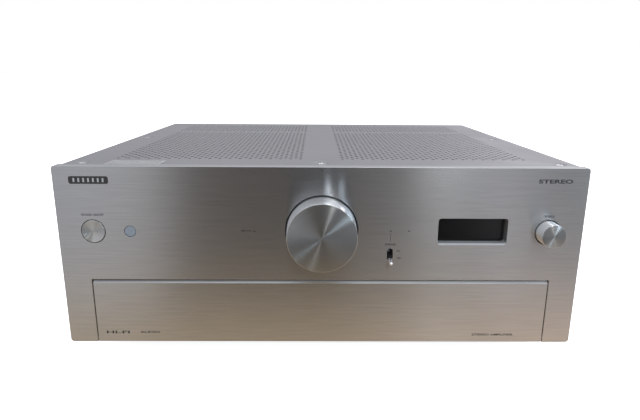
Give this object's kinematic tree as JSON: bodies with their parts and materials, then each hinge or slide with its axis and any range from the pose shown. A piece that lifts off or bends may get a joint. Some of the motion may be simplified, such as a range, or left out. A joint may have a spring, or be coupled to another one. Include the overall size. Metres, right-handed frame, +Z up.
{
  "type": "integrated stereo amplifier",
  "caption": "Full-width hi-fi amplifier with a brushed metal front, large volume knob, input selector, small display, lever switch and a drop-down door.",
  "frame": {"origin": "bottom centre of the whole object, on the surface it stands on", "axes": "+X to the right seen from the front, +Y to the rear, +Z up; the front panel faces -Y"},
  "size_m": [0.435, 0.43, 0.1755],
  "materials": {
    "panel_aluminium": "fine horizontal brush, clear anodised champagne silver",
    "knob_aluminium": "spun face, satin side",
    "case_paint": "fine textured silver-grey paint",
    "rear_paint": "satin black paint",
    "plated_sheet": "dark zinc-plated sheet",
    "screw_steel": "plated",
    "magnet_nickel": "nickel plate",
    "foot_plastic": "moulded, fine grain",
    "pad_rubber": "soft matt rubber",
    "tray_plastic": "moulded, satin black",
    "shaft_steel": "turned",
    "component_plastic": "moulded with plated parts",
    "lever_chrome": "polished chrome plate",
    "eye_plastic": "translucent blue-grey",
    "lamp_lens": "clear light guides, unlit",
    "display_black": "smoked black glass, gloss",
    "display_case": "display tube and board",
    "small_controls": "satin black",
    "board_green": "solder mask",
    "rca_plate": "gold plated",
    "rca_insulator": "white and black insulator",
    "post_grip": "fluted grips",
    "post_brass": "gold plated",
    "inlet_plastic": "moulded black",
    "pin_brass": "nickel plated",
    "core_iron": "varnished laminations",
    "winding_wrap": "taped coil",
    "capacitor_sleeve": "shrink sleeve",
    "heatsink_aluminium": "extruded, dark anodised",
    "transistor_epoxy": "moulded epoxy"
  },
  "bodies": {
    "root": {"front_panel": "panel_aluminium", "top_cover": "case_paint", "side_panel_left": "case_paint", "side_panel_right": "case_paint", "rear_panel": "rear_paint", "front_chassis": "plated_sheet", "bottom_plate": "plated_sheet", "case_screws": "screw_steel", "base_screws": "screw_steel", "door_hinge_pins": "screw_steel", "door_magnets": "magnet_nickel", "foot_front_left": "foot_plastic", "foot_front_right": "foot_plastic", "foot_rear_left": "foot_plastic", "foot_rear_right": "foot_plastic", "foot_pads": "pad_rubber", "control_tray": "tray_plastic", "volume_encoder": "component_plastic", "input_encoder": "component_plastic", "power_switch": "component_plastic", "toggle_switch": "component_plastic", "tone_pots": "component_plastic", "headphone_jack": "component_plastic", "ir_window": "eye_plastic", "indicator_lenses": "lamp_lens", "display_glass": "display_black", "display_module": "display_case", "control_board": "board_green", "amp_board": "board_green", "main_board": "board_green", "rca_sleeves": "rca_plate", "rca_blocks": "rca_insulator", "post_studs": "post_brass", "power_inlet": "inlet_plastic", "inlet_pins": "pin_brass", "transformer_core": "core_iron", "transformer_winding": "winding_wrap", "filter_capacitors": "capacitor_sleeve", "heatsink_left": "heatsink_aluminium", "heatsink_right": "heatsink_aluminium", "power_transistors": "transistor_epoxy"},
    "volume": {"volume_knob": "knob_aluminium", "volume_shaft": "shaft_steel"},
    "input_selector": {"input_knob": "knob_aluminium", "input_shaft": "shaft_steel"},
    "power_key": {"power_button": "knob_aluminium"},
    "direct_lever": {"toggle_lever": "lever_chrome"},
    "door_leaf": {"door": "panel_aluminium", "door_strikes": "screw_steel"},
    "bass_control": {"bass_knob": "small_controls"},
    "treble_control": {"treble_knob": "small_controls"},
    "balance_control": {"balance_knob": "small_controls"},
    "speaker_key": {"speaker_button": "small_controls"},
    "dimmer_key": {"dimmer_button": "small_controls"},
    "phono_thumb": {"phono_slider": "small_controls"},
    "cap_left_minus": {"post_cap_left_minus": "post_grip"},
    "cap_left_plus": {"post_cap_left_plus": "post_grip"},
    "cap_right_minus": {"post_cap_right_minus": "post_grip"},
    "cap_right_plus": {"post_cap_right_plus": "post_grip"},
    "ground_cap": {"ground_knob": "post_brass"}
  },
  "joints": [
    {"name": "volume_turn", "type": "hinge", "parent": "root", "child": "volume", "pos_m": [0, -0.1935, 0.1216], "axis": [0, 1, 0], "continuous": true},
    {"name": "input_turn", "type": "hinge", "parent": "root", "child": "input_selector", "pos_m": [0.1881, -0.1935, 0.1211], "axis": [0, 1, 0], "continuous": true},
    {"name": "power_press", "type": "slide", "parent": "root", "child": "power_key", "axis": [0, 1, 0], "range_m": [0, 0.0025], "stiffness_N_per_m": 600, "springref_m": -0.001},
    {"name": "direct_toggle", "type": "hinge", "parent": "root", "child": "direct_lever", "pos_m": [0.0573, -0.1835, 0.1016], "axis": [-1, 0, 0], "range_deg": [0, 31.2]},
    {"name": "door_fold", "type": "hinge", "parent": "root", "child": "door_leaf", "pos_m": [0, -0.1905, 0.0235], "axis": [1, 0, 0], "range_deg": [0, 90]},
    {"name": "bass_turn", "type": "hinge", "parent": "root", "child": "bass_control", "pos_m": [-0.06, -0.1785, 0.0505], "axis": [0, 1, 0], "range_deg": [-150, 150]},
    {"name": "treble_turn", "type": "hinge", "parent": "root", "child": "treble_control", "pos_m": [-0.015, -0.1785, 0.0505], "axis": [0, 1, 0], "range_deg": [-150, 150]},
    {"name": "balance_turn", "type": "hinge", "parent": "root", "child": "balance_control", "pos_m": [0.03, -0.1785, 0.0505], "axis": [0, 1, 0], "range_deg": [-150, 150]},
    {"name": "speaker_press", "type": "slide", "parent": "root", "child": "speaker_key", "axis": [0, 1, 0], "range_m": [0, 0.0012], "stiffness_N_per_m": 400, "springref_m": -0.001},
    {"name": "dimmer_press", "type": "slide", "parent": "root", "child": "dimmer_key", "axis": [0, 1, 0], "range_m": [0, 0.0012], "stiffness_N_per_m": 400, "springref_m": -0.001},
    {"name": "phono_slide", "type": "slide", "parent": "root", "child": "phono_thumb", "axis": [1, 0, 0], "range_m": [0, 0.004]},
    {"name": "cap_left_minus_turn", "type": "hinge", "parent": "root", "child": "cap_left_minus", "pos_m": [0.096, 0.2015, 0.0655], "axis": [0, 1, 0], "range_deg": [0, 720]},
    {"name": "cap_left_plus_turn", "type": "hinge", "parent": "root", "child": "cap_left_plus", "pos_m": [0.12, 0.2015, 0.0655], "axis": [0, 1, 0], "range_deg": [0, 720]},
    {"name": "cap_right_minus_turn", "type": "hinge", "parent": "root", "child": "cap_right_minus", "pos_m": [-0.024, 0.2015, 0.0655], "axis": [0, 1, 0], "range_deg": [0, 720]},
    {"name": "cap_right_plus_turn", "type": "hinge", "parent": "root", "child": "cap_right_plus", "pos_m": [0, 0.2015, 0.0655], "axis": [0, 1, 0], "range_deg": [0, 720]},
    {"name": "ground_turn", "type": "hinge", "parent": "root", "child": "ground_cap", "pos_m": [0.188, 0.1885, 0.1005], "axis": [0, 1, 0], "range_deg": [0, 720]}
  ]
}
